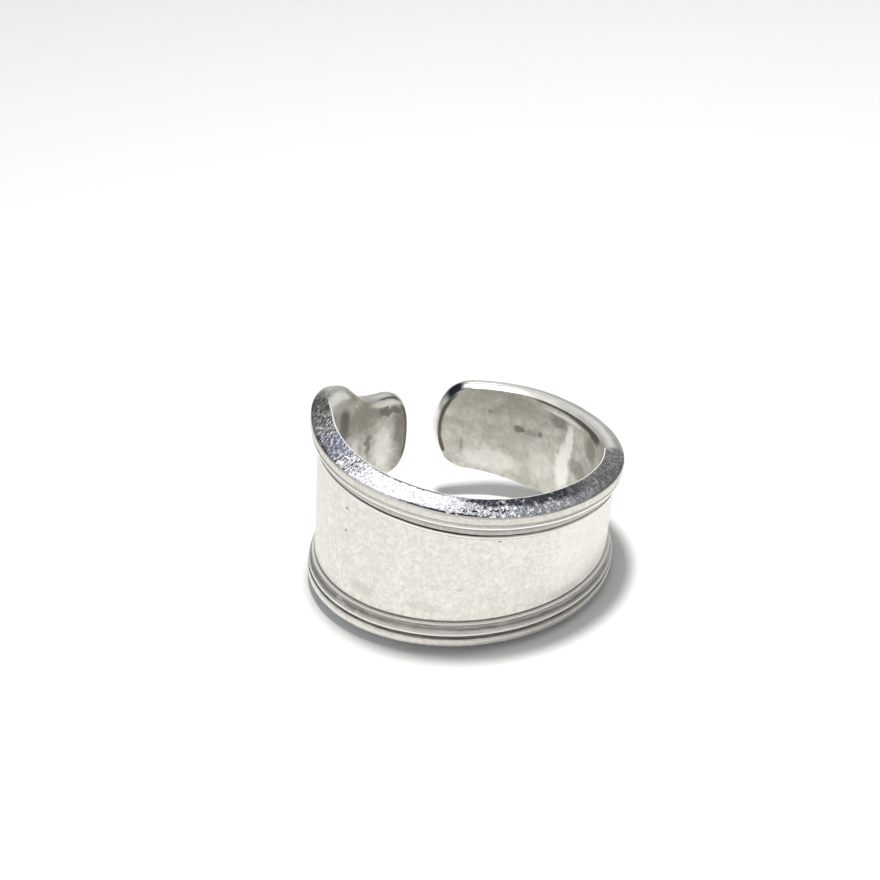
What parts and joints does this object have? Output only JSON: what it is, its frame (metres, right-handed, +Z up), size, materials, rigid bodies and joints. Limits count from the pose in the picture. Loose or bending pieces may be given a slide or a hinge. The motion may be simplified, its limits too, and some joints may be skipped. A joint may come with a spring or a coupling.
{
  "type": "spoon ring",
  "caption": "Open finger ring bent from a silver spoon handle, wide on one side and narrowing to a rounded end, with a thread border along both edges.",
  "frame": {"origin": "centre of the box round the ring, on the surface that it lies on", "axes": "+Z up from the surface, -Y towards the front of the band, +Y towards the gap between its open ends, +X towards the narrow side"},
  "size_m": [0.0208, 0.02, 0.0126],
  "materials": {
    "worn_silver": "satin, lightly scratched, tarnished in the grooves"
  },
  "bodies": {
    "root": {"band": "worn_silver"}
  },
  "joints": []
}
